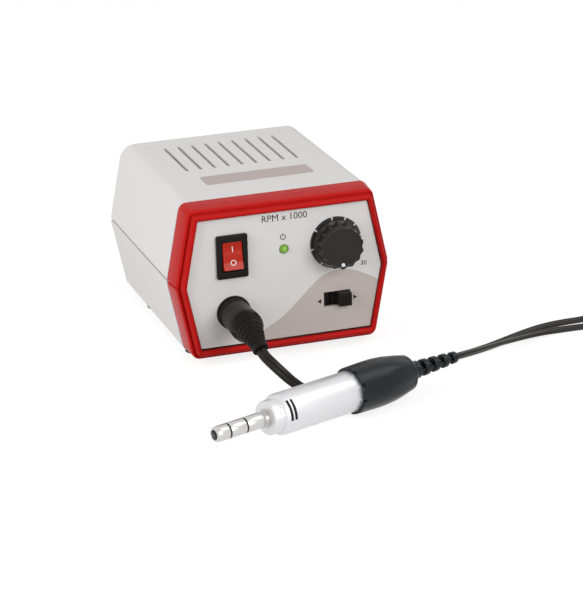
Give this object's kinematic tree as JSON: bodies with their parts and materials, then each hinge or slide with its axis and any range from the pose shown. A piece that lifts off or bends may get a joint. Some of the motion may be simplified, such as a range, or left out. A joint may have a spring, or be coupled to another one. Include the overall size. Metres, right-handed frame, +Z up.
{
  "type": "dental micromotor",
  "caption": "Dental micromotor: six-sided grey control box with a red front bezel, rocker switch, speed knob and direction slide, plugged to a motor handpiece on a flat cord.",
  "frame": {"origin": "on the table, under the middle of the control box and the handpiece taken together", "axes": "+X to the right of the control panel, +Y from the handpiece to the back of the box, +Z up"},
  "size_m": [0.3279, 0.261, 0.0834],
  "materials": {
    "housing": "satin moulded plastic, warm light grey",
    "bezel": "gloss moulded plastic, red",
    "panel": "satin printed film, two tones of grey",
    "black_plastic": "fine matt black",
    "rocker": "gloss red",
    "lamp": "clear green lens",
    "rubber": "matt black",
    "steel": "plain",
    "nickel": "polished nickel",
    "aluminium": "satin anodised",
    "cap": "satin blue-black",
    "plug": "fine matt black",
    "cord": "matt black, flat twin",
    "copper": "copper",
    "brass": "plain",
    "iron": "laminated or sintered iron",
    "board": "solder mask, green",
    "capacitor": "dark blue sleeve",
    "bakelite": "brown moulding",
    "carbon": "carbon"
  },
  "bodies": {
    "base": {"upper_housing": "housing", "lower_housing": "housing", "rear_panel": "housing", "front_bezel": "bezel", "front_panel": "panel", "switch_body": "black_plastic", "led_clip": "black_plastic", "output_socket": "black_plastic", "power_transistor": "black_plastic", "bridge_rectifier": "black_plastic", "fuse_holder": "black_plastic", "fuse_cap": "black_plastic", "pedal_socket": "black_plastic", "cord_tie": "black_plastic", "pilot_led": "lamp", "rubber_feet": "rubber", "mains_gland": "rubber", "stem_rings": "rubber", "case_screws": "steel", "board_screws": "steel", "transformer_screws": "steel", "pot_body": "steel", "direction_switch": "steel", "mode_switch": "steel", "transformer_strap": "steel", "bearings": "steel", "coupling_stem": "nickel", "socket_nut": "nickel", "pot_nut": "nickel", "fuse": "nickel", "motor_sleeve": "aluminium", "front_collar": "aluminium", "heat_sink": "aluminium", "rear_cap": "cap", "tail_relief": "cap", "plug_body": "plug", "plug_boot": "plug", "plug_cord": "cord", "cord_coil": "cord", "tail_cord": "cord", "transformer_coil": "copper", "switch_terminals": "brass", "plug_pins": "brass", "brush_springs": "brass", "transformer_core": "iron", "magnets": "iron", "circuit_board": "board", "filter_capacitor": "capacitor", "brush_holder": "bakelite", "brushes": "carbon"},
    "rocker": {"switch_rocker": "rocker"},
    "speed_control": {"speed_knob": "black_plastic", "pot_shaft": "aluminium"},
    "direction": {"direction_slider": "black_plastic"},
    "mode": {"mode_slider": "black_plastic"},
    "rotor": {"rotor_shaft": "steel", "drive_dog": "steel", "armature": "iron", "armature_coils": "copper", "commutator": "copper"}
  },
  "joints": [
    {"name": "power_rocker", "type": "hinge", "parent": "base", "child": "rocker", "pos_m": [-0.024, -0.0065, 0.057], "axis": [1, 0, 0], "range_deg": [0, 20]},
    {"name": "speed_turn", "type": "hinge", "parent": "base", "child": "speed_control", "pos_m": [0.032, -0.009, 0.057], "axis": [0, 1, 0], "range_deg": [0, 300]},
    {"name": "direction_slide", "type": "slide", "parent": "base", "child": "direction", "axis": [-1, 0, 0], "range_m": [0, 0.0067]},
    {"name": "mode_slide", "type": "slide", "parent": "base", "child": "mode", "axis": [-1, 0, 0], "range_m": [0, 0.0037]},
    {"name": "rotor_spin", "type": "hinge", "parent": "base", "child": "rotor", "pos_m": [-0.01513, -0.10678, 0.01207], "axis": [0.9379, 0.3469, 0], "continuous": true}
  ]
}
